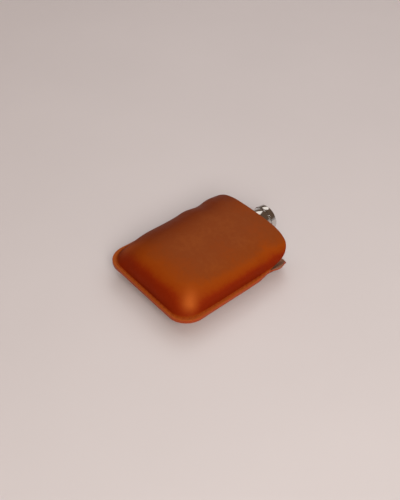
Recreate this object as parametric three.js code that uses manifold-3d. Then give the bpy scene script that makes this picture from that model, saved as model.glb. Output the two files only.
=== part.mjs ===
// Pocket flask: two welded steel shells with a threaded neck, in a moulded and sewn leather cover,
// closed by a screw cap. Millimetres. X runs across the flask, Y along it towards the cap, and Z up
// from the surface that it lies on. The origin is at the middle of the base of its box.
import * as THREE from 'three';
import { mergeVertices } from 'three/addons/utils/BufferGeometryUtils.js';
import Module from 'manifold-3d';

const wasm = await Module();
wasm.setup();

// Leather cover. Heights are measured from the seam plane, where the two panels meet.
const coverWidth = 85; // side to side over the sewn flange
const coverLength = 100.3; // base of the flange to the crown of the mouth
const frontRise = 16.8; // seam plane to the crown of the front panel
const backRise = 13; // seam plane to the flat that the flask lies on
const restFlatDepth = 0.35; // how much of the back panel's crown is pressed flat
const leather = 1.3; // thickness of one panel
const seamGap = 0.2; // line of cement between the two flanges
const flangeWidth = 2.6; // flange from its edge to the crease
const baseCornerRadius = 15; // corners of the flange at the base
const baseRun = 39; // length over which the base end swells to its full height
const mouthArch = 5.7; // fall of the mouth's edge from its crown to its corners
const mouthArchPower = 6.5; // how late that fall comes, from the crown out
const mouthDroop = 1.6; // how much lower the crown is at the mouth
const droopLength = 23.7; // length over which the crown comes down
const swellFullness = 3.1; // exponent of the swell's contours and of its section
const cornerEase = 0.7; // share of the rise over which the corners ease into the swell

// Corners of the mouth, in the flat leather. The front panel is cut back to the end of the seam, and
// the back panel reaches past it with small round corners.
const frontCornerAcross = 13.2; // front corner, up from the crease
const frontCornerAlong = 17; // front corner, along the seam
const backCornerRadius = 3.4;
const seamEndFlange = 1; // flange of both panels where the seam runs out
const flangeTaper = 14; // length over which they narrow to that
const backFlangeEnd = 0.4; // flange of the back panel at its corner

// Seam thread, one strand on each face of the flange
const threadRadius = 0.35;
const threadClearance = 0.3; // thread to the wall of the crease
const threadSeat = 0.1; // thread to the flange below it
const threadEndMargin = 4; // end of the seam to the end of the flange

// Steel flask
const steelWall = 0.7;
const bellyClearance = 0.4; // crown of a shell to the leather over it
const sideClearance = 1.6; // side and base of a shell to the leather round it
const shellCornerRadius = 14; // corners of the shells at the base
const weldGap = 0.1; // welded line between the two shells
const shoulderSetback = 1.5; // crown of the mouth to the top of the shoulder
const shoulderRadius = 22; // corners of the shoulder
const shoulderRun = 30; // length over which the shoulder swells to full thickness

// Neck, on the flask's middle plane
const neckBoreRadius = 5.6;
const neckWall = 1.1;
const neckInside = 5; // length of the neck below the shoulder
const neckHeight = 11.7; // shoulder to the rim that the seal closes
const neckFit = 0.15; // neck to the collar and to the hole in the shells
const collarRadius = 9;
const collarHeight = 2.4; // collar above the shoulder
const collarSkirt = 7; // collar below the shoulder, before it is cut to the shells
const collarFit = 0.3; // collar to the shells

// Screw thread of the neck and of the cap's insert
const threadPitch = 3;
const threadDepth = 0.8;
const threadRootWidth = 1.2;
const threadCrestWidth = 0.6;
const threadTopMargin = 2.2; // rim to the thread's upper end
const threadFootMargin = 2.3; // collar to the thread's lower end
const threadCrestClearance = 0.4;
const insertThreadDepth = 0.85;
const threadSink = 0.3; // root of a thread inside the wall that carries it

// Cap
const capTop = 1.25; // thickness of the end
const capWall = 0.75; // skirt
const capBandLength = 4.5;
const capBandStep = 0.3; // band round the head, proud of the skirt
const capGrooveLength = 0.9;
const capGrooveDepth = 0.3; // groove between band and skirt, below the skirt's face
const capEdge = 0.7; // rounded edge of the end
const capSeatGap = 0.4; // skirt to the collar
const insertWall = 0.8;
const insertTop = 0.8;
const insertFit = 0.15; // insert to the shell of the cap
const sealThickness = 1.2;
const sealFit = 0.2; // seal to the rim, to the insert's end and to its wall

// Fineness of the curved surfaces
const swellSteps = 8;
const shellSwellSteps = 6;
const mouthSteps = 8;
const sideSteps = 3;
const cornerSteps = 8;
const endSteps = 4;
const sectionSteps = 40;
const roundSegments = 36;
const threadSegments = 24;
const capEdgeSteps = 3;
const strandSteps = 64;
const strandSideHalf = 3;
const mergeTolerance = 1e-4;

// Sizes that follow from the ones above
const halfWidth = coverWidth / 2;
const innerInset = flangeWidth + leather;
const shellInset = innerInset + sideClearance;
const flangeTop = seamGap / 2 + leather;
const quarterTurn = Math.PI / 2;
const seamEndY = coverLength - mouthArch - frontCornerAlong;
const shoulderY = coverLength - shoulderSetback;
const flaskCrownZ = frontRise - leather - bellyClearance;
const flaskBellyZ = backRise - leather - bellyClearance;
const axisZ = (flaskCrownZ - flaskBellyZ) / 2;
const flaskHalfThickness = (flaskCrownZ + flaskBellyZ) / 2;
const neckRadius = neckBoreRadius + neckWall;
const neckThreadRadius = neckRadius + threadDepth;
const insertBoreRadius = neckThreadRadius + threadCrestClearance;
const insertRadius = insertBoreRadius + insertWall;
const capBoreRadius = insertRadius + insertFit;
const capSkirtRadius = capBoreRadius + capWall;
const capRadius = capSkirtRadius + capBandStep;
const collarTopY = shoulderY + collarHeight;
const capSkirtY = collarTopY + capSeatGap;
const neckRimY = shoulderY + neckHeight;
const threadStartY = collarTopY + threadFootMargin;
const threadTurns = (neckRimY - threadTopMargin - threadStartY) / threadPitch;
const sealBottomY = neckRimY + sealFit;
const insertCeilingY = sealBottomY + sealThickness + sealFit;
const insertTopY = insertCeilingY + insertTop;
const capCeilingY = insertTopY + insertFit;
const capEndY = capCeilingY + capTop;

// A mesh with its shared corners merged, collapsed triangles left out and every face pointing out.
function closedGeometry(geometry) {
  const bare = new THREE.BufferGeometry();
  bare.setAttribute('position', geometry.getAttribute('position'));
  bare.setIndex(geometry.index);
  const merged = mergeVertices(bare, mergeTolerance);
  const position = merged.getAttribute('position');
  const corner = (index) => new THREE.Vector3().fromBufferAttribute(position, index);
  const kept = [];
  let volume = 0;
  for (let i = 0; i < merged.index.count; i += 3) {
    const [a, b, c] = [0, 1, 2].map((step) => merged.index.getX(i + step));
    if (a === b || b === c || c === a) continue;
    kept.push([a, b, c]);
    volume += corner(a).dot(corner(b).cross(corner(c)));
  }
  merged.setIndex((volume < 0 ? kept.map((face) => face.reverse()) : kept).flat());
  return merged;
}

function toManifold(geometry) {
  const closed = closedGeometry(geometry);
  const vertProperties = new Float32Array(closed.getAttribute('position').array);
  const triVerts = new Uint32Array(closed.index.array);
  return new wasm.Manifold(new wasm.Mesh({ numProp: 3, vertProperties, triVerts }));
}

function fromManifold(solid) {
  const mesh = solid.getMesh();
  const geometry = new THREE.BufferGeometry();
  geometry.setAttribute('position', new THREE.BufferAttribute(mesh.vertProperties, 3));
  geometry.setIndex(Array.from(mesh.triVerts));
  return geometry;
}

// Quads between neighbouring loops of points, as an indexed geometry. An open run of loops gets an
// end face at each end, laddered between the loop's first half and its second.
function loftGeometry(loops, closed) {
  const size = loops[0].length;
  const positions = loops.flat().flatMap((point) => point.toArray());
  const faces = [];
  const quad = (a, b, c, d) => faces.push(a, b, c, a, c, d);
  const runs = closed ? loops.length : loops.length - 1;
  for (let i = 0; i < runs; i++) {
    const here = i * size;
    const next = ((i + 1) % loops.length) * size;
    for (let j = 0; j < size - 1; j++) quad(here + j, next + j, next + j + 1, here + j + 1);
  }
  if (!closed) {
    const last = (loops.length - 1) * size;
    for (let k = 0; k < size / 2 - 1; k++) {
      quad(k, k + 1, size - 2 - k, size - 1 - k);
      quad(last + k + 1, last + k, last + size - 1 - k, last + size - 2 - k);
    }
  }
  const geometry = new THREE.BufferGeometry();
  geometry.setAttribute('position', new THREE.Float32BufferAttribute(positions, 3));
  geometry.setIndex(faces);
  return geometry;
}

// Stations round one rounded end of a pillow, from its left side to its right. Each gives the plan
// point at an inset from the outline and an angle up the swell. The outline's round corners ease
// into the fuller curve of the swell as it rises, and the swell closes in on the end's spine.
function roundedEnd({ half, radius, run, endY, inward }) {
  const flat = half - radius;
  const spine = new THREE.Vector2(0, endY + inward * run);
  const station = (outline) => ({
    at: (inset, angle) => {
      const spoke = outline(inset).sub(spine);
      const across = Math.abs(spoke.x / (half - inset)) ** swellFullness;
      const along = Math.abs(spoke.y / (run - inset)) ** swellFullness;
      const fullShare = (across + along) ** (-1 / swellFullness);
      const easing = Math.max(0, 1 - Math.sin(angle) / cornerEase) ** 2;
      const share = THREE.MathUtils.lerp(fullShare, 1, easing);
      return spoke.multiplyScalar(reachAt(angle) * share).add(spine);
    },
  });
  const sidePoint = (side, depth) => station(
    (inset) => new THREE.Vector2(side * (half - inset), endY + inward * depth),
  );
  const cornerPoint = (side, angle) => station((inset) => new THREE.Vector2(
    side * (flat + (radius - inset) * Math.cos(angle)),
    endY + inward * (radius - (radius - inset) * Math.sin(angle)),
  ));
  const endPoint = (x) => station((inset) => new THREE.Vector2(x, endY + inward * inset));
  const flank = (side) => [
    ...steps(sideSteps).map((share) => sidePoint(side, run + (radius - run) * share)),
    ...steps(cornerSteps).slice(1).map((share) => cornerPoint(side, share * quarterTurn)),
  ];
  const middle = steps(endSteps).slice(1, -1).map((share) => endPoint(flat * (2 * share - 1)));
  return [...flank(-1), ...middle, ...flank(1).reverse()];
}

// Shares from 0 to 1 in equal steps, both ends counted.
function steps(count) {
  return Array.from({ length: count + 1 }, (_, i) => i / count);
}

// How far a contour of the swell keeps out from the spine, at an angle up the swell: the section is
// fuller than an ellipse.
function reachAt(angle) {
  return Math.max(0, Math.cos(angle)) ** (2 / swellFullness);
}

// Distance along the leather from the crease up to an angle of the swell, across a straight side.
function distanceFromCrease(angle) {
  const section = steps(sectionSteps).map((share) => new THREE.Vector2(
    (halfWidth - flangeWidth) * reachAt(angle * share),
    (frontRise - flangeTop) * Math.sin(angle * share),
  ));
  return section.slice(1).reduce((sum, point, i) => sum + point.distanceTo(section[i]), 0);
}

// Fall of a quarter round, as a share of its depth, at a share of the way along it.
function roundOff(share) {
  return 1 - Math.sqrt(1 - Math.max(0, share) ** 2);
}

// How far in the edge of the flange is trimmed at a place along the seam.
function trimmedInset(y) {
  return (flangeWidth - seamEndFlange) * THREE.MathUtils.smoothstep(y, seamEndY - flangeTaper, seamEndY);
}

// Stations up one side of a panel, from the swelling base to the mouth, closer together towards the
// mouth. Each line up the cover ends where the leather does, at its own angle of the swell.
function coverSide(side, { across, along, flangeEnd }) {
  const mouthY = (angle) => {
    const corner = along * roundOff(1 - distanceFromCrease(angle) / across);
    return coverLength - mouthArch * reachAt(angle) ** mouthArchPower - corner;
  };
  return steps(mouthSteps).slice(1).map((step) => {
    const share = 1 - (1 - step) ** 2;
    const lineY = (angle) => baseRun + share * (mouthY(angle) - baseRun);
    const toMouth = (angle, length) => Math.max(0, (lineY(angle) - mouthY(angle)) / length + 1);
    const cornerInset = (seamEndFlange - flangeEnd) * roundOff(toMouth(0, along));
    return {
      at: (inset, angle) => new THREE.Vector2(side * (halfWidth - inset) * reachAt(angle), lineY(angle)),
      droop: (angle) => toMouth(angle, droopLength) ** 2,
      flangeInset: () => trimmedInset(lineY(0)) + cornerInset,
    };
  });
}

// One leather panel: a flange round three sides, a crease, and a swell that stays open at the mouth.
// Its crown is pressed flat where it passes the given limit.
function panelGeometry({ rise, flatRise, facing, mouth }) {
  const coverStations = [
    ...coverSide(-1, mouth).reverse(),
    ...roundedEnd({ half: halfWidth, radius: baseCornerRadius, run: baseRun, endY: 0, inward: 1 }),
    ...coverSide(1, mouth),
  ];
  const skinPoint = (station, angle, inset, baseZ, topZ) => {
    const plan = station.at(inset, angle);
    const droop = station.droop ? mouthDroop / (rise - flangeTop) * station.droop(angle) : 0;
    const z = baseZ + (topZ - baseZ) * Math.sin(angle) * (1 - droop);
    return new THREE.Vector3(plan.x, plan.y, facing * Math.min(z, flatRise));
  };
  const angles = steps(swellSteps).map((share) => share * quarterTurn);
  const loops = coverStations.map((station) => {
    const edge = station.at(station.flangeInset ? station.flangeInset() : 0, 0);
    return [
      ...angles.toReversed().map(
        (angle) => skinPoint(station, angle, innerInset, seamGap / 2, flatRise - leather),
      ),
      new THREE.Vector3(edge.x, edge.y, facing * seamGap / 2),
      new THREE.Vector3(edge.x, edge.y, facing * flangeTop),
      ...angles.map((angle) => skinPoint(station, angle, flangeWidth, flangeTop, rise)),
    ];
  });
  return closedGeometry(loftGeometry(loops, false));
}

// One strand of the seam, a round thread that lies in the crease along three sides of the flange.
function strandGeometry(facing) {
  const inset = flangeWidth - threadClearance - threadRadius;
  const z = facing * (flangeTop + threadSeat + threadRadius);
  const endY = seamEndY - threadEndMargin;
  const turn = baseCornerRadius - inset;
  const middleX = halfWidth - baseCornerRadius;
  const corner = (side, share) => new THREE.Vector3(
    side * (middleX + turn * Math.cos(share * quarterTurn)),
    baseCornerRadius - turn * Math.sin(share * quarterTurn),
    z,
  );
  const route = new THREE.CurvePath();
  const bend = (side) => steps(cornerSteps).map((share) => corner(side, share));
  const points = [
    new THREE.Vector3(inset - halfWidth, endY, z),
    ...bend(-1),
    ...bend(1).reverse(),
    new THREE.Vector3(halfWidth - inset, endY, z),
  ];
  points.slice(1).forEach((point, i) => route.add(new THREE.LineCurve3(points[i], point)));
  const section = new THREE.Shape().absarc(0, 0, threadRadius, 0, 2 * Math.PI);
  const settings = { extrudePath: route, steps: strandSteps, curveSegments: strandSideHalf };
  return closedGeometry(new THREE.ExtrudeGeometry(section, settings));
}

// Stations round the closed outline of the steel flask.
const shellOutline = {
  half: halfWidth - shellInset,
  base: { radius: shellCornerRadius, run: baseRun - shellInset, endY: shellInset, inward: 1 },
  shoulder: { radius: shoulderRadius, run: shoulderRun, endY: shoulderY, inward: -1 },
};
const shellStations = [
  ...roundedEnd({ half: shellOutline.half, ...shellOutline.base }),
  ...roundedEnd({ half: shellOutline.half, ...shellOutline.shoulder }).reverse(),
];

// Points up one face of the flask's swell, from the middle plane to the crown.
function shellFace(station, inset, facing, fromZ) {
  return steps(shellSwellSteps).map((share) => {
    const angle = share * quarterTurn;
    const plan = station.at(inset, angle);
    const z = fromZ + (flaskHalfThickness - inset - fromZ) * Math.sin(angle);
    return new THREE.Vector3(plan.x, plan.y, axisZ + facing * z);
  });
}

// A solid block of the flask's outer shape, grown by a clearance.
function flaskBlock(clearance) {
  const loops = shellStations.map((station) => [
    ...shellFace(station, -clearance, -1, 0).reverse(),
    ...shellFace(station, -clearance, 1, 0).slice(1),
  ]);
  return toManifold(loftGeometry(loops, true));
}

// A piece turned about the neck's axis. Profile points are radius and place along Y.
function turned(profile, segments = roundSegments) {
  const points = profile.map(([radius, y]) => new THREE.Vector2(radius, y));
  return new THREE.LatheGeometry(points, segments).translate(0, 0, axisZ);
}

// A turned ring: its profile closes on itself.
function turnedRing(profile) {
  return turned([...profile, profile[0]]);
}

// One pressed half of the flask, with half of the hole for the neck.
function shellGeometry(facing) {
  const loops = shellStations.map((station) => [
    ...shellFace(station, steelWall, facing, weldGap / 2).reverse(),
    ...shellFace(station, 0, facing, weldGap / 2),
  ]);
  const holeRadius = neckRadius + neckFit;
  const holeStartY = shoulderY - shoulderRun;
  const hole = turned([
    [0, holeStartY],
    [holeRadius, holeStartY],
    [holeRadius, neckRimY],
    [0, neckRimY],
  ]);
  return fromManifold(toManifold(loftGeometry(loops, true)).subtract(toManifold(hole)));
}

// Collar round the foot of the neck, cut to the shoulder that it is welded to.
function collarGeometry() {
  const bore = neckRadius + neckFit;
  const footY = shoulderY - collarSkirt;
  const ring = turnedRing([
    [bore, footY],
    [collarRadius, footY],
    [collarRadius, collarTopY],
    [bore, collarTopY],
  ]);
  return fromManifold(toManifold(ring).subtract(flaskBlock(collarFit)));
}

// A helical ridge about the neck's axis. It starts from its first turn's middle and climbs with Y.
function ridgeGeometry({ rootRadius, crestRadius, startY, turns, startAngle }) {
  const count = Math.round(turns * threadSegments);
  const section = [
    [rootRadius, -threadRootWidth / 2],
    [crestRadius, -threadCrestWidth / 2],
    [crestRadius, threadCrestWidth / 2],
    [rootRadius, threadRootWidth / 2],
  ];
  const positions = [];
  const faces = [];
  for (let i = 0; i <= count; i++) {
    const angle = startAngle + i / threadSegments * 2 * Math.PI;
    const y = startY + i / threadSegments * threadPitch;
    for (const [radius, rise] of section) {
      positions.push(radius * Math.sin(angle), y + rise, axisZ + radius * Math.cos(angle));
    }
  }
  const size = section.length;
  for (let i = 0; i < count; i++) {
    for (let j = 0; j < size; j++) {
      const [a, b] = [i * size + j, i * size + (j + 1) % size];
      faces.push(a, b, b + size, a, b + size, a + size);
    }
  }
  const last = count * size;
  faces.push(0, 2, 1, 0, 3, 2, last, last + 1, last + 2, last, last + 2, last + 3);
  const geometry = new THREE.BufferGeometry();
  geometry.setAttribute('position', new THREE.Float32BufferAttribute(positions, 3));
  geometry.setIndex(faces);
  return geometry;
}

// Neck: a tube with an outside thread, open at both ends.
function neckGeometry() {
  const footY = shoulderY - neckInside;
  const tube = turnedRing([
    [neckBoreRadius, footY],
    [neckRadius, footY],
    [neckRadius, neckRimY],
    [neckBoreRadius, neckRimY],
  ]);
  const ridge = ridgeGeometry({
    rootRadius: neckRadius - threadSink,
    crestRadius: neckThreadRadius,
    startY: threadStartY,
    turns: threadTurns,
    startAngle: 0,
  });
  return fromManifold(toManifold(tube).add(toManifold(ridge)));
}

// Insert of the cap: a cup with an inside thread that runs half a turn behind the neck's.
function insertGeometry() {
  const lag = 1 / 2;
  const cup = turned([
    [0, insertCeilingY],
    [insertBoreRadius, insertCeilingY],
    [insertBoreRadius, capSkirtY],
    [insertRadius, capSkirtY],
    [insertRadius, insertTopY],
    [0, insertTopY],
  ]);
  const ridge = ridgeGeometry({
    rootRadius: insertBoreRadius + threadSink,
    crestRadius: insertBoreRadius - insertThreadDepth,
    startY: threadStartY + lag * threadPitch,
    turns: threadTurns - lag,
    startAngle: 0,
  });
  return fromManifold(toManifold(cup).add(toManifold(ridge)));
}

// Shell of the cap: a wide band round the head, a groove, and a skirt down to the collar.
function capGeometry() {
  const bandY = capEndY - capBandLength;
  const grooveY = bandY - capGrooveLength;
  const grooveRadius = capSkirtRadius - capGrooveDepth;
  const edge = steps(capEdgeSteps).map((share) => [
    capRadius - capEdge + capEdge * Math.cos(share * quarterTurn),
    capEndY - capEdge + capEdge * Math.sin(share * quarterTurn),
  ]);
  return closedGeometry(turned([
    [0, capCeilingY],
    [capBoreRadius, capCeilingY],
    [capBoreRadius, capSkirtY],
    [capSkirtRadius, capSkirtY],
    [capSkirtRadius, grooveY],
    [grooveRadius, grooveY],
    [grooveRadius, bandY],
    [capRadius, bandY],
    ...edge,
    [0, capEndY],
  ]));
}

// Seal: a flat disc under the end of the insert, which the neck's rim presses on.
function sealGeometry() {
  const radius = insertBoreRadius - sealFit;
  const topY = sealBottomY + sealThickness;
  return closedGeometry(turned([
    [0, sealBottomY],
    [radius, sealBottomY],
    [radius, topY],
    [0, topY],
  ]));
}

const tanLeather = new THREE.MeshStandardMaterial({ color: 0x97481f, roughness: 0.55, metalness: 0 });
const tanThread = new THREE.MeshStandardMaterial({ color: 0x8a3f1a, roughness: 0.8, metalness: 0 });
const brushedSteel = new THREE.MeshStandardMaterial({ color: 0xb4b2ae, roughness: 0.35, metalness: 1 });
const polishedSteel = new THREE.MeshStandardMaterial({ color: 0xc8c6c2, roughness: 0.12, metalness: 1 });
const insertPlastic = new THREE.MeshStandardMaterial({ color: 0x2a2a2c, roughness: 0.5, metalness: 0 });
const sealRubber = new THREE.MeshStandardMaterial({ color: 0xd8d5cc, roughness: 0.7, metalness: 0 });

const flask = new THREE.Group();

function addPiece(name, geometry, material) {
  const mesh = new THREE.Mesh(geometry, material);
  mesh.name = name;
  flask.add(mesh);
}

const frontMouth = {
  across: frontCornerAcross,
  along: frontCornerAlong,
  flangeEnd: seamEndFlange,
};
const backMouth = {
  across: backCornerRadius,
  along: backCornerRadius,
  flangeEnd: backFlangeEnd,
};
addPiece(
  'front_panel',
  panelGeometry({ rise: frontRise, flatRise: frontRise, facing: 1, mouth: frontMouth }),
  tanLeather,
);
addPiece(
  'back_panel',
  panelGeometry({ rise: backRise + restFlatDepth, flatRise: backRise, facing: -1, mouth: backMouth }),
  tanLeather,
);
addPiece('front_seam_thread', strandGeometry(1), tanThread);
addPiece('back_seam_thread', strandGeometry(-1), tanThread);
addPiece('front_shell', shellGeometry(1), brushedSteel);
addPiece('back_shell', shellGeometry(-1), brushedSteel);
addPiece('neck_collar', collarGeometry(), polishedSteel);
addPiece('threaded_neck', neckGeometry(), brushedSteel);
addPiece('cap_shell', capGeometry(), polishedSteel);
addPiece('cap_insert', insertGeometry(), insertPlastic);
addPiece('cap_seal', sealGeometry(), sealRubber);

flask.position.set(0, -capEndY / 2, backRise);

export default flask;
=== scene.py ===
import collections
import functools
import math

import bpy
from mathutils import Matrix, Vector, noise


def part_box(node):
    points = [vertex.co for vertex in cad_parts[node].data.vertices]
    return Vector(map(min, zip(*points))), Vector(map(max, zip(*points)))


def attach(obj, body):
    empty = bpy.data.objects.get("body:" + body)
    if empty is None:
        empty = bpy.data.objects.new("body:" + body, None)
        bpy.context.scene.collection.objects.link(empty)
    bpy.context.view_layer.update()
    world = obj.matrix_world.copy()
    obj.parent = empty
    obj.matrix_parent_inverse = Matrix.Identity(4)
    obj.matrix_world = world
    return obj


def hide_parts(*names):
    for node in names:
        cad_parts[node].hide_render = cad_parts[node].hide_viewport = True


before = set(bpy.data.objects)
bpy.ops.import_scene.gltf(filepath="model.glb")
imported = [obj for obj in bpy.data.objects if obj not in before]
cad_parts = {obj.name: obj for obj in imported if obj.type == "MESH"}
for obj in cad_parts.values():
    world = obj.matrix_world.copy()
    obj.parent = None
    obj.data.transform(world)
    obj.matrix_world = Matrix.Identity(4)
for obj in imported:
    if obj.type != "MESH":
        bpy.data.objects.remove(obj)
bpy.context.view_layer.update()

# The steel flask is pressed in two halves from thin stainless sheet, welded edge to edge round the
# middle and ground flush. The cover hides all but the shoulder, which shows in its open mouth.
# Lengths here and below are in metres.
shell_wall = 0.0007
shell_base_corner = 0.014
shell_base_run = 0.0335
shoulder_corner = 0.022
shoulder_run = 0.030
weld_half_gap = 0.00005
swell_fullness = 3.1
corner_ease = 0.7
shell_spacing = 0.0012
shell_swell_steps = 28
merge_distance = 0.000002
neck_thread_depth = 0.0008
neck_fit = 0.00015
neck_hole_sides = 96
steel_grey = (0.60, 0.59, 0.57, 1)
steel_pale = (0.70, 0.69, 0.67, 1)

front_shell_low, front_shell_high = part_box("front_shell")
back_shell_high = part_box("back_shell")[1]
neck_low, neck_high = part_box("threaded_neck")
axis_z = (front_shell_low.z + back_shell_high.z) / 2
shell_half_width = front_shell_high.x
shell_half_thickness = front_shell_high.z - axis_z
shoulder_y = front_shell_high.y
neck_radius = neck_high.x - neck_thread_depth


def spread(first, last, count):
    """Evenly spaced numbers from first to last, both counted."""
    return [first + (last - first) * step / (count - 1) for step in range(count)]


def swell_reach(lift):
    """How far out from its spine a moulded swell keeps, at an angle up the swell."""
    return max(0.0, math.cos(lift)) ** (2 / swell_fullness)


def moulded_end(half, corner, run, end_y, inward, spacing):
    """Stations round one end of a moulded pillow, from its left side to its right.

    A station gives the plan point at an inset from the outline and an angle up the swell. The round
    corners of the outline ease into the fuller curve of the swell as it rises to its spine.
    """
    flat = half - corner
    spine_y = end_y + inward * run

    def station(outline):
        def at(inset, lift):
            x, y = outline(inset)
            along_y = y - spine_y
            across_part = abs(x / (half - inset)) ** swell_fullness
            along_part = abs(along_y / (run - inset)) ** swell_fullness
            full_share = (across_part + along_part) ** (-1 / swell_fullness)
            easing = max(0.0, 1 - math.sin(lift) / corner_ease) ** 2
            reach = swell_reach(lift) * (full_share + (1 - full_share) * easing)
            return x * reach, spine_y + along_y * reach
        return at

    def on_side(side, depth):
        return station(lambda inset: (side * (half - inset), end_y + inward * depth))

    def on_corner(side, turn):
        return station(lambda inset: (
            side * (flat + (corner - inset) * math.cos(turn)),
            end_y + inward * (corner - (corner - inset) * math.sin(turn)),
        ))

    def on_end(x):
        return station(lambda inset: (x, end_y + inward * inset))

    def flank(side):
        depths = spread(run, corner, round((run - corner) / spacing) + 1)
        turns = spread(0, math.pi / 2, round(corner * math.pi / 2 / spacing) + 1)
        return [on_side(side, depth) for depth in depths] + [on_corner(side, turn) for turn in turns[1:]]

    across = spread(-flat, flat, round(2 * flat / spacing) + 1)
    return flank(-1) + [on_end(x) for x in across[1:-1]] + flank(1)[::-1]


def moulded_sheet(name, rows, **shades):
    """A grid whose corners are moved to their places, with meeting corners merged.

    Each named shade gives every corner a number for its finish to read.
    """
    bpy.ops.object.select_all(action="DESELECT")
    bpy.ops.mesh.primitive_grid_add(x_subdivisions=len(rows[0]) - 1, y_subdivisions=len(rows) - 1)
    sheet = bpy.context.object
    sheet.name = name
    sheet.data.name = name
    for corner, place in zip(sheet.data.vertices, [place for row in rows for place in row]):
        corner.co = place
    for shade, values in shades.items():
        marks = sheet.data.attributes.new(shade, "FLOAT", "POINT")
        marks.data.foreach_set("value", [value for row in values for value in row])
    bpy.ops.object.mode_set(mode="EDIT")
    bpy.ops.mesh.select_all(action="SELECT")
    bpy.ops.mesh.remove_doubles(threshold=merge_distance)
    bpy.ops.object.mode_set(mode="OBJECT")
    return sheet


def finish_with(piece, kind, **settings):
    """Puts a modifier on a piece with the given settings and applies it."""
    bpy.ops.object.select_all(action="DESELECT")
    bpy.context.view_layer.objects.active = piece
    piece.select_set(True)
    modifier = piece.modifiers.new(kind.lower(), kind)
    for setting, value in settings.items():
        setattr(modifier, setting, value)
    bpy.ops.object.modifier_apply(modifier=modifier.name)


def smooth(piece, sharp_degrees):
    """Shades a piece smooth, apart from edges sharper than an angle."""
    bpy.ops.object.select_all(action="DESELECT")
    bpy.context.view_layer.objects.active = piece
    piece.select_set(True)
    bpy.ops.object.shade_smooth_by_angle(angle=math.radians(sharp_degrees))


class Wire:
    """One output in a finish's node tree. Arithmetic on it adds the Math nodes that work it out."""

    def __init__(self, tree, socket=None):
        self.tree = tree
        self.socket = socket

    def node(self, kind, sockets=None, output=0, stops=None, **settings):
        """Adds a node with its settings, then the values or links of its sockets."""
        added = self.tree.nodes.new(kind)
        for setting, value in settings.items():
            setattr(added, setting, value)
        for index, (place, colour) in enumerate(stops or []):
            ramp = added.color_ramp.elements
            stop = ramp[index] if index < len(ramp) else ramp.new(place)
            stop.position = place
            stop.color = colour
        for name, value in (sockets or {}).items():
            if isinstance(value, Wire):
                self.tree.links.new(value.socket, added.inputs[name])
            else:
                added.inputs[name].default_value = value
        return Wire(self.tree, added.outputs[output] if added.outputs else None)

    def math(self, operation, first, second):
        return self.node("ShaderNodeMath", {0: first, 1: second}, operation=operation)

    def blend(self, share, first, second):
        """A colour between two others."""
        return self.node("ShaderNodeMix", {0: share, 6: first, 7: second}, output=2, data_type="RGBA")

    def __add__(self, other):
        return self.math("ADD", self, other)

    def __sub__(self, other):
        return self.math("SUBTRACT", self, other)

    def __rsub__(self, other):
        return self.math("SUBTRACT", other, self)

    def __mul__(self, other):
        return self.math("MULTIPLY", self, other)

    __radd__ = __add__
    __rmul__ = __mul__


def new_finish(name):
    """An empty material, and the start of its node tree."""
    material = bpy.data.materials.new(name)
    material.use_nodes = True
    material.node_tree.nodes.clear()
    return material, Wire(material.node_tree)


def close_finish(tree, **sockets):
    """Ends a finish in one surface shader. Socket names have underscores for spaces."""
    named = {name.replace("_", " "): value for name, value in sockets.items()}
    surface = tree.node("ShaderNodeBsdfPrincipled", named)
    tree.node("ShaderNodeOutputMaterial", {"Surface": surface})


def satin_steel_finish():
    """Stainless sheet with the fine lines of a linishing belt across it, and faint clouds of wear."""
    material, tree = new_finish("satin_steel")
    place = tree.node("ShaderNodeTexCoord", output="Object")
    along_belt = tree.node("ShaderNodeMapping", {"Vector": place, "Scale": (60, 5000, 5000)})
    lines = tree.node("ShaderNodeTexNoise", {"Vector": along_belt, "Scale": 1.0, "Detail": 2.0})
    clouds = tree.node("ShaderNodeTexNoise", {"Vector": place, "Scale": 90.0, "Detail": 3.0})
    close_finish(
        tree,
        Base_Color=tree.blend(clouds, steel_grey, steel_pale),
        Metallic=1.0,
        Roughness=0.22 + clouds * 0.1 + lines * 0.08,
        Normal=tree.node("ShaderNodeBump", {"Strength": 0.15, "Distance": 0.00002, "Height": lines}),
    )
    return material


satin_steel = satin_steel_finish()
base_stations = moulded_end(
    shell_half_width, shell_base_corner, shell_base_run, front_shell_low.y, 1, shell_spacing
)
shoulder_stations = moulded_end(
    shell_half_width, shoulder_corner, shoulder_run, shoulder_y, -1, shell_spacing
)
shell_outline = base_stations + shoulder_stations[::-1] + base_stations[:1]

bpy.ops.object.select_all(action="DESELECT")
bpy.ops.mesh.primitive_cylinder_add(
    vertices=neck_hole_sides,
    radius=neck_radius + neck_fit,
    depth=2 * shoulder_run,
    location=(0, shoulder_y, axis_z),
    rotation=(math.pi / 2, 0, 0),
)
neck_hole = bpy.context.object
shells = {}
for node, facing in (("front_shell", 1), ("back_shell", -1)):
    rows = []
    for station in shell_outline:
        row = []
        for lift in spread(0, math.pi / 2, shell_swell_steps):
            x, y = station(0, lift)
            rise = weld_half_gap + (shell_half_thickness - weld_half_gap) * math.sin(lift)
            row.append((x, y, axis_z + facing * rise))
        rows.append(row)
    shell = moulded_sheet("steel_" + node, rows[::-facing])
    finish_with(shell, "SOLIDIFY", thickness=shell_wall, offset=-1, use_even_offset=True)
    finish_with(shell, "BOOLEAN", object=neck_hole, operation="DIFFERENCE", solver="EXACT")
    smooth(shell, sharp_degrees=40)
    shell.data.materials.append(satin_steel)
    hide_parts(node)
    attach(shell, "flask")
    shells[node] = shell
bpy.data.objects.remove(neck_hole)

# The collar is a turned stainless ring, welded to the shoulder round the foot of the neck and
# polished. Its foot follows the shoulder's curve, with a small weld fillet.
collar_edge = 0.0004
collar_fillet = 0.0005
collar_fillet_rise = 0.0007
collar_foot_fit = 0.00045
collar_clear = 0.0001
placing_tolerance = 0.00001
turned_sides = 120
collar_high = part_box("neck_collar")[1]


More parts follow.
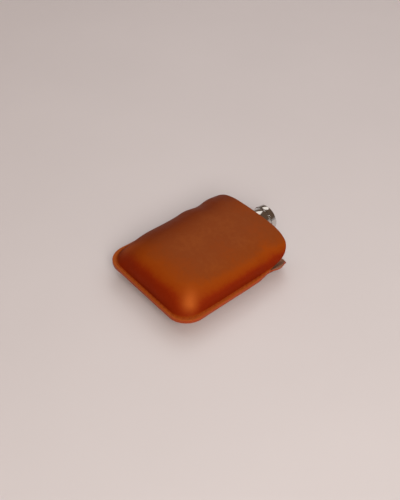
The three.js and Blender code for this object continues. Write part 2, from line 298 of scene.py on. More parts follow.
def turned_piece(name, profile):
    """A closed profile of radius and place along the neck, spun about the neck's axis.

    It starts half a side round, so that no corner lies on the weld line between the two shells. A
    side of the profile that lies on the axis is left loose by the merging, and deleted.
    """
    bpy.ops.object.select_all(action="DESELECT")
    bpy.ops.mesh.primitive_circle_add(vertices=len(profile))
    piece = bpy.context.object
    piece.name = name
    piece.data.name = name
    start = math.pi / turned_sides
    for corner, (radius, y) in zip(piece.data.vertices, profile):
        corner.co = (radius * math.cos(start), y, axis_z + radius * math.sin(start))
    bpy.ops.object.mode_set(mode="EDIT")
    bpy.ops.mesh.select_all(action="SELECT")
    bpy.ops.mesh.spin(steps=turned_sides, angle=2 * math.pi, center=(0, 0, axis_z), axis=(0, 1, 0))
    bpy.ops.mesh.select_all(action="SELECT")
    bpy.ops.mesh.remove_doubles(threshold=merge_distance)
    bpy.ops.mesh.delete_loose()
    bpy.ops.mesh.select_all(action="SELECT")
    bpy.ops.mesh.normals_make_consistent(inside=False)
    bpy.ops.object.mode_set(mode="OBJECT")
    return piece


def round_edges(piece, width, segments):
    """Rounds the edges that a lathe tool or a mould leaves sharp."""
    finish_with(
        piece, "BEVEL", width=width, segments=segments, limit_method="ANGLE", angle_limit=math.radians(60)
    )


def polished_steel_finish():
    """Turned and polished stainless: rings too fine to count, hairline scratches and faint smears."""
    material, tree = new_finish("polished_steel")
    place = tree.node("ShaderNodeTexCoord", output="Object")
    part = tree.node("ShaderNodeMapping", {"Vector": place, "Location": (0, 0, -axis_z)})
    x = tree.node("ShaderNodeSeparateXYZ", {"Vector": part}, output="X")
    y = tree.node("ShaderNodeSeparateXYZ", {"Vector": part}, output="Y")
    z = tree.node("ShaderNodeSeparateXYZ", {"Vector": part}, output="Z")
    radius = tree.math("SQRT", x * x + z * z, 0)
    turned = tree.node("ShaderNodeCombineXYZ", {"X": radius, "Y": y})
    rings = tree.node("ShaderNodeTexNoise", {"Vector": turned, "Scale": 9000.0, "Detail": 1.0})
    smears = tree.node("ShaderNodeTexNoise", {"Vector": place, "Scale": 160.0, "Detail": 4.0})
    scuffs = tree.node("ShaderNodeTexNoise", {"Vector": place, "Scale": 2600.0, "Detail": 2.0})
    close_finish(
        tree,
        Base_Color=tree.blend(smears, steel_grey, steel_pale),
        Metallic=1.0,
        Roughness=0.05 + smears * 0.12 + scuffs * 0.04,
        Normal=tree.node("ShaderNodeBump", {"Strength": 0.1, "Distance": 0.00001, "Height": rings}),
    )
    return material


polished_steel = polished_steel_finish()
collar_start = shoulder_y + collar_clear
collar = turned_piece("welded_collar", [
    (neck_radius + collar_foot_fit, collar_start),
    (collar_high.x + collar_fillet, collar_start),
    (collar_high.x, collar_start),
    (collar_high.x, collar_high.y),
    (neck_radius + neck_fit, collar_high.y),
])
foot = collar.vertex_groups.new(name="foot")
fillet_top = collar.vertex_groups.new(name="fillet_top")
for corner in collar.data.vertices:
    if corner.co.y < collar_start + placing_tolerance:
        radius = math.hypot(corner.co.x, corner.co.z - axis_z)
        on_wall = abs(radius - collar_high.x) < placing_tolerance
        (fillet_top if on_wall else foot).add([corner.index], 1, "REPLACE")
for group, lift in (("foot", 0), ("fillet_top", collar_fillet_rise)):
    finish_with(
        collar,
        "SHRINKWRAP",
        target=shells["front_shell"],
        auxiliary_target=shells["back_shell"],
        wrap_method="PROJECT",
        use_project_y=True,
        use_negative_direction=True,
        use_positive_direction=False,
        vertex_group=group,
        offset=lift,
    )
round_edges(collar, collar_edge, segments=3)
smooth(collar, sharp_degrees=40)
collar.data.materials.append(polished_steel)
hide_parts("neck_collar")
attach(collar, "flask")

# The neck is a stainless tube welded through the shoulder. Its thread is rolled and fades out at
# both ends, and its rim is rounded for the lips and for the seal.
neck_wall = 0.0011
rim_round = 0.0003
thread_pitch = 0.003
thread_root_width = 0.0012
thread_crest_width = 0.0006
thread_foot_margin = 0.0023
thread_top_margin = 0.0022
thread_sink = 0.0003
thread_runout = 0.15
thread_steps_per_turn = 90
thread_start = collar_high.y + thread_foot_margin
thread_turns = (neck_high.y - thread_top_margin - thread_start) / thread_pitch


def thread_ridge(name, root, crest, start, turns):
    """A helical ridge about the neck's axis that climbs with Y and fades out at both ends."""
    rows = []
    for turn in spread(0, turns, round(turns * thread_steps_per_turn)):
        fade = min(1.0, turn / thread_runout, (turns - turn) / thread_runout)
        full = math.sin(max(0.0, fade) * math.pi / 2)
        angle = turn * 2 * math.pi
        section = []
        for radius, half_width in (
            (root, -thread_root_width / 2),
            (root + (crest - root) * full, -thread_crest_width / 2 * full),
            (root + (crest - root) * full, thread_crest_width / 2 * full),
            (root, thread_root_width / 2),
        ):
            y = start + turn * thread_pitch + half_width * full
            section.append((radius * math.sin(angle), y, axis_z + radius * math.cos(angle)))
        rows.append(section + section[:1])
    ridge = moulded_sheet(name, rows)
    bpy.ops.object.mode_set(mode="EDIT")
    bpy.ops.mesh.select_all(action="SELECT")
    bpy.ops.mesh.normals_make_consistent(inside=False)
    bpy.ops.object.mode_set(mode="OBJECT")
    return ridge


neck = turned_piece("threaded_spout", [
    (neck_radius - neck_wall, neck_low.y),
    (neck_radius, neck_low.y),
    (neck_radius, neck_high.y),
    (neck_radius - neck_wall, neck_high.y),
])
round_edges(neck, rim_round, segments=4)
neck_ridge = thread_ridge(
    "neck_ridge", neck_radius - thread_sink, neck_high.x, thread_start, thread_turns
)
finish_with(neck, "BOOLEAN", object=neck_ridge, operation="UNION", solver="EXACT")
bpy.data.objects.remove(neck_ridge)
smooth(neck, sharp_degrees=35)
neck.data.materials.append(satin_steel)
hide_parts("threaded_neck")
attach(neck, "flask")

# The cover is two panels of tan leather, each wetted and pressed over a form so that it keeps its
# swell, then cemented flange to flange, trimmed, and burnished along the edge. The mouth stays
# open at the top and shows the flesh side.
leather = 0.00138
cement_half_gap = 0.00002
flange_width = 0.0026
cover_base_corner = 0.015
cover_base_run = 0.039
mouth_arch = 0.0057
mouth_arch_power = 6.5
mouth_droop = 0.0016
droop_length = 0.0237
front_corner_across = 0.0132
front_corner_along = 0.017
back_corner = 0.009
back_corner_in_flange = 0.0022
flange_taper = 0.014
flange_flare = 0.008
pinch_depth = 0.0013
pinch_swell = 0.0008
pinch_reach = 0.0058
rest_flat_depth = 0.00035
crease_round = 0.0008
open_crease_round = 0.0022
crease_steps = 10
wall_steps = 50
wall_step_ease = 1.25
measured_lifts = 41
rim_step = 0.0005
rim_round_percent = 45
sheet_corner_rounding = 0.2
left_corner_spare = 0.0009
left_corner_reach = 0.010
edge_wave = 0.00012
edge_waves_per_metre = 90
dent_depth = 0.00022
dents_per_metre = 55
fine_dent_share = 0.4
fine_dent_ratio = 2.7
dent_start_rise = 0.004
dent_end_rise = 0.002
cover_spacing = 0.0006
stitch_inset = 0.00185
stitch_pitch = 0.004
stitch_pull = 0.00018
stitch_pull_reach = 0.0006
# Below: painted shade by the crease, on steep walls, at the base and to the left, and painted highlights.
crease_shade_rise = 0.0028
crease_shade_width = 0.0008
flange_painted_shade = 0.6
plateau_painted_shade = 0.15
steep_painted_shade = 1.75
steep_from = 0.97
base_painted_shade = 0.55
left_shade_gain = 4
flange_rub_and_highlight = 0.5
right_corner_highlight = 1.0
left_corner_highlight = 0.5
highlight_streak = 0.75
highlight_x = 0.0336
highlight_depth = 0.0125
highlight_height = 0.0078
highlight_reach = 0.0043
# Leather tones from the plateau to the steepest walls, darker and redder downwards as painted shade.
leather_tones_with_painted_shade = (
    (0.0, (0.262, 0.0590, 0.0085, 1)),
    (0.15, (0.230, 0.0465, 0.0062, 1)),
    (0.35, (0.280, 0.0480, 0.0016, 1)),
    (0.55, (0.265, 0.0390, 0.0008, 1)),
    (0.82, (0.222, 0.0180, 0.0004, 1)),
    (1.0, (0.195, 0.0128, 0.0003, 1)),
)
# Colour of the painted shade on the slopes to the left.
leather_left_shade_brown = (0.165, 0.0235, 0.0010, 1)
# Pale colour of the rubbed flange and of the painted highlight over the base's corners.
leather_rub_and_highlight_pale = (0.44, 0.094, 0.012, 1)
# Colour of the painted shade in the crease.
leather_painted_shade = (0.115, 0.008, 0.0006, 1)
leather_shine = (1, 0.50, 0.25, 1)
flesh_pale = (0.37, 0.175, 0.102, 1)
flesh_deep = (0.23, 0.095, 0.048, 1)
edge_brown = (0.42, 0.068, 0.015, 1)
edge_dark = (0.26, 0.034, 0.006, 1)

front_panel_low, front_panel_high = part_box("front_panel")
back_panel_low, back_panel_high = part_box("back_panel")
seam_z = (front_panel_low.z + back_panel_high.z) / 2
flange_top = cement_half_gap + leather
crease_start = flange_width - crease_round
cover_half_width = front_panel_high.x
cover_base_y = front_panel_low.y
mouth_crown_y = front_panel_high.y
front_rise = front_panel_high.z - seam_z
back_rise = seam_z - back_panel_low.z
seam_end_y = mouth_crown_y - mouth_arch - front_corner_along


def tan_leather_finish():
    """Waxed grain side: fine cells and pores and a cloudy patina. Painted shade darkens and reddens the
    steep walls, most towards the base, and darkens the crease and the slopes to the left. The flange is
    paled by rubbing and a painted highlight, and a painted highlight lies over the corners of the base."""
    material, tree = new_finish("tan_leather")
    place = tree.node("ShaderNodeTexCoord", output="Object")
    wall_shade = tree.node("ShaderNodeAttribute", output="Fac", attribute_name="wall_painted_shade")
    crease = tree.node("ShaderNodeAttribute", output="Fac", attribute_name="crease_shade")
    left_shade = tree.node("ShaderNodeAttribute", output="Fac", attribute_name="left_painted_shade")
    rub = tree.node("ShaderNodeAttribute", output="Fac", attribute_name="rubbed_shade")
    patina = tree.node(
        "ShaderNodeTexNoise", {"Vector": place, "Scale": 42.0, "Detail": 5.0, "Roughness": 0.6}
    )
    mottle = tree.node("ShaderNodeTexNoise", {"Vector": place, "Scale": 420.0, "Detail": 3.0})
    cells = tree.node(
        "ShaderNodeTexVoronoi", {"Vector": place, "Scale": 1300.0}, feature="DISTANCE_TO_EDGE"
    )
    pores = tree.node("ShaderNodeTexNoise", {"Vector": place, "Scale": 5200.0, "Detail": 2.0})
    # Painted shade: steep walls and the side facing the base come out darker and redder, with random
    # patina.
    depth = wall_shade + (patina - 0.5) * 0.5 + (mottle - 0.5) * 0.25
    body = tree.node("ShaderNodeValToRGB", {"Fac": depth}, stops=leather_tones_with_painted_shade)
    # Painted shade darkens the slopes to the left.
    left_shaded = tree.blend(left_shade, body, leather_left_shade_brown)
    # The flange is paled by rubbing and a painted highlight, the base's corners by a painted highlight.
    worn_and_highlit = tree.blend(rub * (0.75 + mottle * 0.4), left_shaded, leather_rub_and_highlight_pale)
    height = tree.math("MINIMUM", cells * 5.0, 1.0) * 0.7 + pores * 0.3
    close_finish(
        tree,
        # Painted shade darkens the crease.
        Base_Color=tree.blend(crease * crease * 0.12, worn_and_highlit, leather_painted_shade),
        Roughness=0.34 + mottle * 0.16 + wall_shade * 0.34 - rub * 0.06,
        Specular_IOR_Level=0.2,
        Specular_Tint=leather_shine,
        Normal=tree.node("ShaderNodeBump", {"Strength": 0.22, "Distance": 0.00006, "Height": height}),
    )
    return material


def flesh_side_finish():
    """Inner face of the leather: short matted fibres, paler and pinker than the grain."""
    material, tree = new_finish("leather_flesh_side")
    place = tree.node("ShaderNodeTexCoord", output="Object")
    naps = tree.node("ShaderNodeTexNoise", {"Vector": place, "Scale": 260.0, "Detail": 5.0})
    fibres = tree.node(
        "ShaderNodeTexNoise", {"Vector": place, "Scale": 2400.0, "Detail": 4.0, "Distortion": 1.5}
    )
    close_finish(
        tree,
        Base_Color=tree.blend(naps * 0.6 + fibres * 0.4, flesh_deep, flesh_pale),
        Roughness=0.85 + fibres * 0.12,
        Normal=tree.node("ShaderNodeBump", {"Strength": 0.5, "Distance": 0.0001, "Height": fibres}),
    )
    return material


def burnished_edge_finish():
    """Cut edge of the leather, dyed, rubbed round and waxed, with its layers still faintly showing."""
    material, tree = new_finish("burnished_leather_edge")
    place = tree.node("ShaderNodeTexCoord", output="Object")
    layers = tree.node("ShaderNodeMapping", {"Vector": place, "Scale": (180, 180, 2600)})
    streaks = tree.node("ShaderNodeTexNoise", {"Vector": layers, "Scale": 1.0, "Detail": 4.0})
    wear = tree.node("ShaderNodeTexNoise", {"Vector": place, "Scale": 150.0, "Detail": 4.0})
    close_finish(
        tree,
        Base_Color=tree.blend(streaks * 0.5 + wear * 0.5, edge_dark, edge_brown),
        Roughness=0.38 + wear * 0.2,
        Specular_IOR_Level=0.3,
        Specular_Tint=leather_shine,
        Normal=tree.node("ShaderNodeBump", {"Strength": 0.25, "Distance": 0.00008, "Height": streaks}),
    )
    return material


def crease_distance(lift):
    """Length of leather from the crease up to an angle of the swell, across a straight side."""
    length = 0.0
    lifts = spread(0, lift, measured_lifts)
    for low, high in zip(lifts, lifts[1:]):
        across = (cover_half_width - flange_width) * (swell_reach(low) - swell_reach(high))
        up = (front_rise - flange_top) * (math.sin(high) - math.sin(low))
        length += math.hypot(across, up)
    return length


def round_off(share):
    """Fall of a quarter round, as a share of its depth, at a share of the way along it."""
    return 1 - math.sqrt(1 - min(1.0, max(0.0, share)) ** 2)


def ease(share):
    """Goes smoothly from 0 to 1 as a share does."""
    share = min(1.0, max(0.0, share))
    return share * share * (3 - 2 * share)


def trimmed_inset(y):
    """How far in the edge of the flange is trimmed: as far as the crease at the end of the seam."""
    past_end = y - seam_end_y
    return crease_start * (ease(past_end / flange_taper + 1) - ease(past_end / flange_flare))


def pinch(y):
    """How far the end of the seam draws the walls in at a place along it. They stand out beside it."""
    past = (y - seam_end_y) / pinch_reach
    return pinch_depth * math.exp(-past ** 2) - pinch_swell * math.exp(-(abs(past) - 2) ** 2)


def cover_side(side, across, along, flange_part):
    """Stations up one side of a panel, from the swelling base to the mouth.

    The mouth's corner is rounded in the flat leather, and some of its width may lie in the flange. A
    station of the cover gives its plan points, how far the crown has come down, and the inset of the
    flange's edge, which grows where the flange runs out.
    """
    start_y = cover_base_y + cover_base_run
    corner_top_y = mouth_crown_y - mouth_arch

    @functools.cache
    def mouth_y(lift):
        corner = along * round_off(1 - (flange_part + crease_distance(lift)) / across)
        return mouth_crown_y - mouth_arch * swell_reach(lift) ** mouth_arch_power - corner

    def station(share):
        def line_y(lift):
            return start_y + share * (mouth_y(lift) - start_y)

        def at(inset, lift):
            return side * (cover_half_width - inset) * swell_reach(lift), line_y(lift)

        def to_mouth(lift, length):
            return max(0.0, (line_y(lift) - mouth_y(lift)) / length + 1)

        rounded = across * round_off((line_y(0) - corner_top_y) / along + 1)
        edge_inset = max(trimmed_inset(line_y(0)), min(flange_part, rounded))
        return at, lambda lift: to_mouth(lift, droop_length) ** 2, edge_inset

    count = round((mouth_crown_y - start_y) / cover_spacing)
    return [station(share) for share in spread(0, 1, count)[1:]]


def seam_distances(stations):
    """Distance of each station along the seam, from the middle of the base, less than 0 on the left."""
    route = [Vector(at(stitch_inset, 0)) for at, droop, edge_inset in stations]
    reached = [0.0]
    for here, there in zip(route, route[1:]):
        reached.append(reached[-1] + (there - here).length)
    return [distance - reached[-1] / 2 for distance in reached]


def cover_row(station, travel, rise, flat_rise, facing):
    """Corners across a panel at one station, from the flange's edge over the crease to the crown,
    and how much painted shade each takes from the crease. The crease opens past the end of the seam."""
    at, droop, edge_inset = station
    past_end = at(0, 0)[1] - seam_end_y
    bend = crease_round + (open_crease_round - crease_round) * ease(past_end / flange_flare)
    bend_start = flange_width - bend
    edge = edge_inset + edge_wave * noise.noise(Vector((travel * edge_waves_per_metre, facing, 0)))
    flat = max(0.0, bend_start - edge)
    first_turn = math.asin(max(0.0, edge - bend_start) / bend)
    pull = stitch_pull * (0.5 + 0.5 * math.cos(2 * math.pi * travel / stitch_pitch)) ** 2
    swell = rise - flange_top
    places = []
    for reached in [0.0] + spread(rim_step, flat + bend * (math.pi / 2 - first_turn), crease_steps):
        turn = first_turn + max(0.0, reached - flat) / bend
        inset = edge + reached if reached < flat else bend_start + bend * math.sin(turn)
        dip = pull * math.exp(-((inset - stitch_inset) / stitch_pull_reach) ** 2) * math.cos(turn)
        # Painted shade in the crease fades out across the flange.
        before_crease = (crease_start - inset) / crease_shade_width
        shade_from_crease = 1.0 if turn > 0 else flange_painted_shade * max(0.0, 1 - before_crease)
        places.append((inset, math.asin(bend * (1 - math.cos(turn)) / swell), dip, shade_from_crease))
    first_lift = math.asin(bend / swell)
    for step in spread(0, 1, wall_steps)[1:]:
        lift = first_lift + (math.pi / 2 - first_lift) * step ** wall_step_ease
        # Painted shade fades with height up the wall.
        places.append((flange_width, lift, 0.0, math.exp(-swell * math.sin(lift) / crease_shade_rise)))
    row = []
    for inset, lift, dip, shade_from_crease in places:
        x, y = at(inset, lift)
        drawn_in = pinch(y) * math.sin(2 * lift) * math.copysign(1, x)
        height = flange_top - dip + swell * math.sin(lift) * (1 - mouth_droop / swell * droop(lift))
        row.append((x - drawn_in, y, seam_z + facing * min(height, flat_rise)))
    return row, [shade_from_crease for inset, lift, dip, shade_from_crease in places]


def painted_wall_shade(normal):
    """How much painted shade a place takes: more the steeper it is, and most where it faces the base."""
    steep = steep_painted_shade * max(0.0, steep_from - abs(normal.z))
    return min(1.0, plateau_painted_shade + steep + base_painted_shade * max(0.0, -normal.y))


def painted_left_shade(normal):
    """How much painted shade a place takes on the left: most on the slopes to the left, less at the base.
    """
    return min(1.0, left_shade_gain * max(0.0, -normal.x)) * (1 - max(0.0, -normal.y)) ** 2


def rubbed(place, facing):
    """How pale a place is painted: on the flange, from rubbing and a painted highlight, and over the
    base's corners, a painted highlight that fades slowly towards the crown."""
    worn_and_highlit = flange_rub_and_highlight if abs(place.z - seam_z) < flange_top + placing_tolerance else 0.0
    # Painted highlight over each corner of the base, stronger on the right.
    for side, strength in ((1, right_corner_highlight), (-1, left_corner_highlight)):
        offset = place - Vector((side * highlight_x, cover_base_y + highlight_depth, seam_z + facing * highlight_height))
        inward = max(0.0, offset.dot(Vector((-side, 1, facing)).normalized()))
        worn_and_highlit += strength * math.exp((highlight_streak * inward ** 2 - offset.length_squared) / highlight_reach ** 2)
    return min(1.0, worn_and_highlit)


def spare_at_corner(at):
    """How much wider the flange was left at the left corner of the base."""
    corner_middle = cover_base_corner * (1 - math.sqrt(0.5))
    corner = Vector((corner_middle - cover_half_width, cover_base_y + corner_middle))
    return left_corner_spare * math.exp(-((Vector(at(0, 0)) - corner).length / left_corner_reach) ** 2)


def dent(panel, normals, facing, flat_rise):
    """Pushes shallow dents into the walls of a panel, clear of its flange and of the flat it lies on."""
    for corner, normal in zip(panel.data.vertices, normals):
        height = abs(corner.co.z - seam_z)
        looseness = min(1.0, max(0.0, (height - flange_top) / dent_start_rise))
        if facing < 0:
            looseness *= min(1.0, max(0.0, (flat_rise - height) / dent_end_rise))
        depth = noise.noise(corner.co * dents_per_metre)
        depth += fine_dent_share * noise.noise(corner.co * dents_per_metre * fine_dent_ratio)
        corner.co += normal * dent_depth * looseness * depth


def round_rims(panel):
    """Rounds the cut edge as burnishing does, on the grain side, and also on the flesh side where the
    panels are not cemented. The corners of the sheet are rounded less."""
    meeting = {}
    for face in panel.data.polygons:
        for key in face.edge_keys:
            meeting.setdefault(key, set()).add(face.material_index)
    links = collections.Counter(end for key in meeting for end in key)
    rounding = panel.data.attributes.new("bevel_weight_edge", "FLOAT", "EDGE")
    for edge in panel.data.edges:
        heights = [abs(panel.data.vertices[end].co.z - seam_z) for end in edge.vertices]
        grain_rim = meeting[edge.key] == {0, 2}
        flesh_rim = meeting[edge.key] == {1, 2}
        if grain_rim or (flesh_rim and min(heights) > leather):
            at_corner = any(links[end] == 3 for end in edge.vertices)
            rounding.data[edge.index].value = sheet_corner_rounding if at_corner else 1.0
    finish_with(
        panel,
        "BEVEL",
        offset_type="PERCENT",
        width_pct=rim_round_percent,
        segments=3,
        limit_method="WEIGHT",
    )


base_end = [
    (at, lambda lift: 0.0, -spare_at_corner(at))
    for at in moulded_end(
        cover_half_width, cover_base_corner, cover_base_run, cover_base_y, 1, cover_spacing
    )
]
front_mouth = (front_corner_across, front_corner_along, 0.0)
back_mouth = (back_corner, back_corner, back_corner_in_flange)
cover_finishes = [tan_leather_finish(), flesh_side_finish(), burnished_edge_finish()]
for node, facing, rise, flat_rise, mouth in (
    ("front_panel", 1, front_rise, front_rise, front_mouth),
    ("back_panel", -1, back_rise + rest_flat_depth, back_rise, back_mouth),
):
    stations = cover_side(-1, *mouth)[::-1] + base_end + cover_side(1, *mouth)
    rows = []
    # Painted crease shade, and the paling of rubbing and painted highlight, for every corner.
    crease_shade = []
    rubbed_shade = []
    for station, travel in zip(stations, seam_distances(stations)):
        row, crease_shading = cover_row(station, travel, rise, flat_rise, facing)
        rows.append(row)
        crease_shade.append(crease_shading)
        rubbed_shade.append([rubbed(Vector(place), facing) for place in row])
    panel = moulded_sheet(
        "leather_" + node,
        rows[::-facing],
        crease_shade=crease_shade[::-facing],
        rubbed_shade=rubbed_shade[::-facing],
    )
    normals = [corner.normal.copy() for corner in panel.data.vertices]
    # Painted shade on the steep walls, the side facing the base and the slopes to the left.
    for shade, amount in (("wall_painted_shade", painted_wall_shade), ("left_painted_shade", painted_left_shade)):
        marks = panel.data.attributes.new(shade, "FLOAT", "POINT")
        marks.data.foreach_set("value", [amount(normal) for normal in normals])
    dent(panel, normals, facing, flat_rise)
    for finish in cover_finishes:
        panel.data.materials.append(finish)
    finish_with(
        panel,
        "SOLIDIFY",
        thickness=leather,
        offset=-1,
        material_offset=1,
        material_offset_rim=2,
    )
    round_rims(panel)
    smooth(panel, sharp_degrees=50)
    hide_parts(node)
    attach(panel, "flask")

# The seam is a saddle stitch through both flanges, close to the crease, in waxed thread of the
# leather's own colour. Each stitch dips into its holes at both ends.
stitch_length = 0.0034
stitch_radius = 0.0004
stitch_middle_rise = 0.00012
stitch_slant = math.radians(7)
stitch_sides = 10
stitch_rings = 7
seam_end_margin = 0.004
thread_amber = (0.36, 0.068, 0.011, 1)
thread_dark = (0.22, 0.032, 0.005, 1)

seam_across = cover_half_width - cover_base_corner
seam_turn_radius = cover_base_corner - stitch_inset
seam_up = seam_end_y - seam_end_margin - cover_base_y - cover_base_corner
seam_half_length = seam_across + seam_turn_radius * math.pi / 2 + seam_up


def waxed_thread_finish():
    """Twisted linen thread, waxed: fine plies and dark specks of wax."""
    material, tree = new_finish("waxed_thread")
    place = tree.node("ShaderNodeTexCoord", output="Object")
    plies = tree.node(
        "ShaderNodeTexWave",
        {"Vector": place, "Scale": 900.0, "Distortion": 1.5},
        bands_direction="DIAGONAL",
    )
    wax = tree.node("ShaderNodeTexNoise", {"Vector": place, "Scale": 900.0, "Detail": 3.0})
    close_finish(
        tree,
        Base_Color=tree.blend(plies * 0.4 + wax * 0.6, thread_dark, thread_amber),
        Roughness=0.55 + wax * 0.25,
        Specular_IOR_Level=0.2,
        Specular_Tint=leather_shine,
        Normal=tree.node("ShaderNodeBump", {"Strength": 0.5, "Distance": 0.00008, "Height": plies}),
    )
    return material


def seam_point(travel):
    """Place on the seam at a distance from the middle of the base, and the seam's direction there."""
    side = math.copysign(1, travel)
    past_straight = abs(travel) - seam_across
    turn = past_straight / seam_turn_radius
    if past_straight < 0:
        return Vector((travel, cover_base_y + stitch_inset)), 0.0
    if turn < math.pi / 2:
        x = seam_across + seam_turn_radius * math.sin(turn)
        y = cover_base_y + cover_base_corner - seam_turn_radius * math.cos(turn)
        return Vector((side * x, y)), side * turn
    y = cover_base_y + cover_base_corner + past_straight - seam_turn_radius * math.pi / 2
    return Vector((side * (cover_half_width - stitch_inset), y)), side * math.pi / 2


waxed_thread = waxed_thread_finish()
stitch_count = int(seam_half_length / stitch_pitch)
for node, facing in (("front_seam_thread", 1), ("back_seam_thread", -1)):
    bpy.ops.object.select_all(action="DESELECT")
    bpy.ops.mesh.primitive_uv_sphere_add(
        segments=stitch_sides, ring_count=stitch_rings, radius=stitch_radius
    )
    stitch = bpy.context.object
    bpy.ops.object.mode_set(mode="EDIT")
    bpy.ops.mesh.select_all(action="SELECT")
    bpy.ops.transform.rotate(value=math.pi / 2, orient_axis="Y", center_override=(0, 0, 0))
    bpy.ops.transform.resize(value=(stitch_length / 2 / stitch_radius, 1, 1))
    bpy.ops.object.mode_set(mode="OBJECT")
    stitches = []
    for number in range(-stitch_count, stitch_count):
        middle, heading = seam_point((number + 0.5) * stitch_pitch)
        copy = stitch.copy()
        copy.data = stitch.data.copy()
        place = Vector((middle.x, middle.y, seam_z + facing * (flange_top + stitch_middle_rise)))
        turn = Matrix.Rotation(heading + stitch_slant, 4, "Z")
        copy.data.transform(Matrix.Translation(place) @ turn)
        bpy.context.scene.collection.objects.link(copy)
        stitches.append(copy)
    bpy.data.objects.remove(stitch)
    bpy.ops.object.select_all(action="DESELECT")
    for copy in stitches:
        copy.select_set(True)
    bpy.context.view_layer.objects.active = stitches[0]
    bpy.ops.object.join()
    seam = bpy.context.object
    seam.name = node.replace("thread", "stitches")
    seam.data.name = seam.name
    smooth(seam, sharp_degrees=180)
    seam.data.materials.append(waxed_thread)
    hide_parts(node)
    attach(seam, "flask")

# The seal is a punched disc of off-white silicone at the bottom of the cap. The neck's rim has
# left a faint ring in it.
seal_edge = 0.0002
rim_print = 0.0001
seal_white = (0.66, 0.64, 0.58, 1)
seal_grey = (0.56, 0.54, 0.48, 1)
seal_low, seal_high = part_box("cap_seal")


def silicone_finish():
    """Moulded silicone: cloudy, softly shining, with a fine dusty bloom."""
    material, tree = new_finish("silicone")
    place = tree.node("ShaderNodeTexCoord", output="Object")
    cloud = tree.node("ShaderNodeTexNoise", {"Vector": place, "Scale": 300.0, "Detail": 3.0})
    bloom = tree.node("ShaderNodeTexNoise", {"Vector": place, "Scale": 4000.0, "Detail": 2.0})
    close_finish(
        tree,
        Base_Color=tree.blend(cloud, seal_grey, seal_white),
        Roughness=0.45 + bloom * 0.2,
        Normal=tree.node("ShaderNodeBump", {"Strength": 0.2, "Distance": 0.00003, "Height": bloom}),
    )
    return material


rim_outer = neck_radius
rim_inner = neck_radius - neck_wall
seal = turned_piece("silicone_seal", [
    (0, seal_low.y),
    (rim_inner - rim_print, seal_low.y),
    (rim_inner, seal_low.y + rim_print),
    (rim_outer, seal_low.y + rim_print),
    (rim_outer + rim_print, seal_low.y),
    (seal_high.x, seal_low.y),
    (seal_high.x, seal_high.y),
    (0, seal_high.y),
])
round_edges(seal, seal_edge, segments=2)
smooth(seal, sharp_degrees=50)
seal.data.materials.append(silicone_finish())
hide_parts("cap_seal")
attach(seal, "seal")

# The insert is the cap's moulded liner, a dark plastic cup with an inside thread, pressed into the
# metal shell.
insert_thread_depth = 0.00085
seal_fit = 0.0002
insert_edge = 0.00015
plastic_black = (0.018, 0.018, 0.019, 1)
plastic_grey = (0.032, 0.032, 0.033, 1)
insert_low, insert_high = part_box("cap_insert")


def moulded_plastic_finish():
    """Dark moulded plastic with a spark-eroded surface and polish where the thread has rubbed."""
    material, tree = new_finish("moulded_plastic")
    place = tree.node("ShaderNodeTexCoord", output="Object")
    spark = tree.node("ShaderNodeTexNoise", {"Vector": place, "Scale": 3500.0, "Detail": 2.0})
    rub = tree.node("ShaderNodeTexNoise", {"Vector": place, "Scale": 350.0, "Detail": 3.0})
    close_finish(
        tree,
        Base_Color=tree.blend(rub, plastic_black, plastic_grey),
        Roughness=0.38 + rub * 0.2,
        Normal=tree.node("ShaderNodeBump", {"Strength": 0.25, "Distance": 0.00004, "Height": spark}),
    )
    return material


insert_bore = seal_high.x + seal_fit
insert = turned_piece("threaded_cap_insert", [
    (0, seal_high.y + seal_fit),
    (insert_bore, seal_high.y + seal_fit),
    (insert_bore, insert_low.y),
    (insert_high.x, insert_low.y),
    (insert_high.x, insert_high.y),
    (0, insert_high.y),
])
round_edges(insert, insert_edge, segments=2)
insert_ridge = thread_ridge(
    "insert_ridge",
    insert_bore + thread_sink,
    insert_bore - insert_thread_depth,
    thread_start + thread_pitch / 2,
    thread_turns - 1 / 2,
)
finish_with(insert, "BOOLEAN", object=insert_ridge, operation="UNION", solver="EXACT")
bpy.data.objects.remove(insert_ridge)
smooth(insert, sharp_degrees=35)
insert.data.materials.append(moulded_plastic_finish())
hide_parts("cap_insert")
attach(insert, "cap")

# The cap's shell is turned from stainless bar and polished: a wide band to grip round the head, a
# groove under it, and a slightly narrower skirt down to the collar.
insert_fit = 0.00015
cap_band_length = 0.0045
cap_band_step = 0.0003
cap_groove_length = 0.0009
cap_groove_depth = 0.0003
cap_edge = 0.0007
cap_edge_fine = 0.0001
cap_edge_steps = 8
cap_low, cap_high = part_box("cap_shell")

cap_bore = insert_high.x + insert_fit
cap_skirt = cap_high.x - cap_band_step
cap_band_y = cap_high.y - cap_band_length
cap_groove_y = cap_band_y - cap_groove_length
cap = turned_piece("polished_cap", [
    (0, insert_high.y + insert_fit),
    (cap_bore, insert_high.y + insert_fit),
    (cap_bore, cap_low.y),
    (cap_skirt, cap_low.y),
    (cap_skirt, cap_groove_y),
    (cap_skirt - cap_groove_depth, cap_groove_y),
    (cap_skirt - cap_groove_depth, cap_band_y),
    (cap_high.x, cap_band_y),
    *[
        (cap_high.x - cap_edge * (1 - math.cos(turn)), cap_high.y - cap_edge * (1 - math.sin(turn)))
        for turn in spread(0, math.pi / 2, cap_edge_steps)
    ],
    (0, cap_high.y),
])
round_edges(cap, cap_edge_fine, segments=2)
smooth(cap, sharp_degrees=40)
cap.data.materials.append(polished_steel)
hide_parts("cap_shell")
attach(cap, "cap")

# The flask lies on a plain pale table, which is a stage and no part of it. Three softboxes and a
# warm, dim room light it, and the camera looks down on it from the front and the right.
table_size = 6
table_pale = (0.70, 0.68, 0.70, 1)
table_grey = (0.66, 0.64, 0.66, 1)


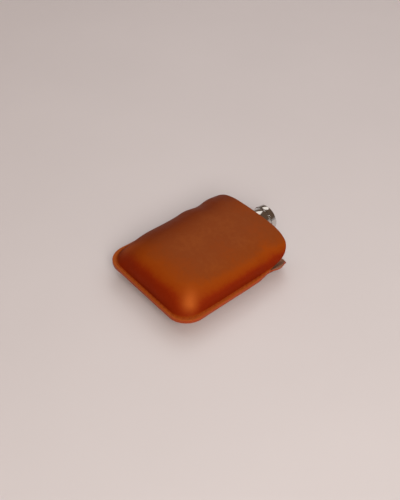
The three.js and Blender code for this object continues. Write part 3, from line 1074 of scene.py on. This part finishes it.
def table_finish():
    """A pale honed surface, almost even in tone."""
    material, tree = new_finish("pale_table")
    place = tree.node("ShaderNodeTexCoord", output="Object")
    tone = tree.node("ShaderNodeTexNoise", {"Vector": place, "Scale": 9.0, "Detail": 4.0})
    close_finish(tree, Base_Color=tree.blend(tone, table_grey, table_pale), Roughness=0.7)
    return material


bpy.ops.object.select_all(action="DESELECT")
bpy.ops.mesh.primitive_plane_add(size=table_size)
table = bpy.context.object
table.name = "table"
table.data.materials.append(table_finish())


def soft_light(name, place, size, watts, colour):
    """A square softbox that shines from a place at the flask."""
    lamp = bpy.data.lights.new(name, "AREA")
    lamp.size = size
    lamp.energy = watts
    lamp.color = colour
    light = bpy.data.objects.new(name, lamp)
    light.location = place
    light.rotation_euler = (-Vector(place)).to_track_quat("-Z", "Y").to_euler()
    bpy.context.scene.collection.objects.link(light)
    return light


overhead = soft_light("overhead", (-0.05, 0.30, 1.00), 1.8, 6.6, (0.97, 0.98, 1))
soft_light("window", (-0.55, 0.60, 0.93), 0.65, 1.4, (1, 0.96, 0.92))
soft_light("key", (0.80, -0.45, 0.70), 0.6, 8.8, (1, 0.94, 0.87))
# The broad panel overhead would fill the polished cap with white, so reflections leave it out.
overhead.visible_glossy = False

# Camera rays and reflections meet the backdrop. All other light comes from the room.
bright_side = (0.81, -0.30, 0.50)
room_warm = (1, 0.62, 0.42, 1)
room_least = 0.06
room_gain = 0.32
backdrop_pale = (0.44, 0.40, 0.385, 1)
backdrop_dim = (0.13, 0.082, 0.055, 1)
pale_up_to = 0.10
dim_from = 0.30
world = bpy.data.worlds.new("studio")
bpy.context.scene.world = world
world.use_nodes = True
world.node_tree.nodes.clear()
sky = Wire(world.node_tree)
outlook = sky.node("ShaderNodeTexCoord", output="Generated")
towards = sky.node(
    "ShaderNodeVectorMath", {0: outlook, 1: bright_side}, output="Value", operation="DOT_PRODUCT"
)
share = 0.5 + towards * 0.5
room = sky.node("ShaderNodeBackground", {
    "Color": room_warm,
    "Strength": room_least + share * share * room_gain,
})
above = sky.node("ShaderNodeMapRange", {
    "Value": sky.node("ShaderNodeSeparateXYZ", {"Vector": outlook}, output="Z"),
    "From Min": pale_up_to,
    "From Max": dim_from,
})
backdrop = sky.node("ShaderNodeBackground", {"Color": sky.blend(above, backdrop_pale, backdrop_dim)})
seen = sky.node("ShaderNodeLightPath", output="Is Camera Ray")
seen = seen + sky.node("ShaderNodeLightPath", output="Is Glossy Ray")
seen = seen + sky.node("ShaderNodeLightPath", output="Is Transmission Ray")
studio = sky.node("ShaderNodeMixShader", {0: seen, 1: room, 2: backdrop})
sky.node("ShaderNodeOutputWorld", {"Surface": studio})
bpy.context.scene.view_settings.view_transform = "Standard"

camera_place = (0.2615, -0.23005, 0.3402)
camera_aim = (-0.00505, -0.00306, 0.0144)
camera_lens = 49.53
camera_data = bpy.data.cameras.new("camera")
camera_data.lens = camera_lens
camera = bpy.data.objects.new("camera", camera_data)
camera.location = camera_place
camera.rotation_euler = (Vector(camera_aim) - Vector(camera_place)).to_track_quat("-Z", "Y").to_euler()
bpy.context.scene.collection.objects.link(camera)
bpy.context.scene.camera = camera
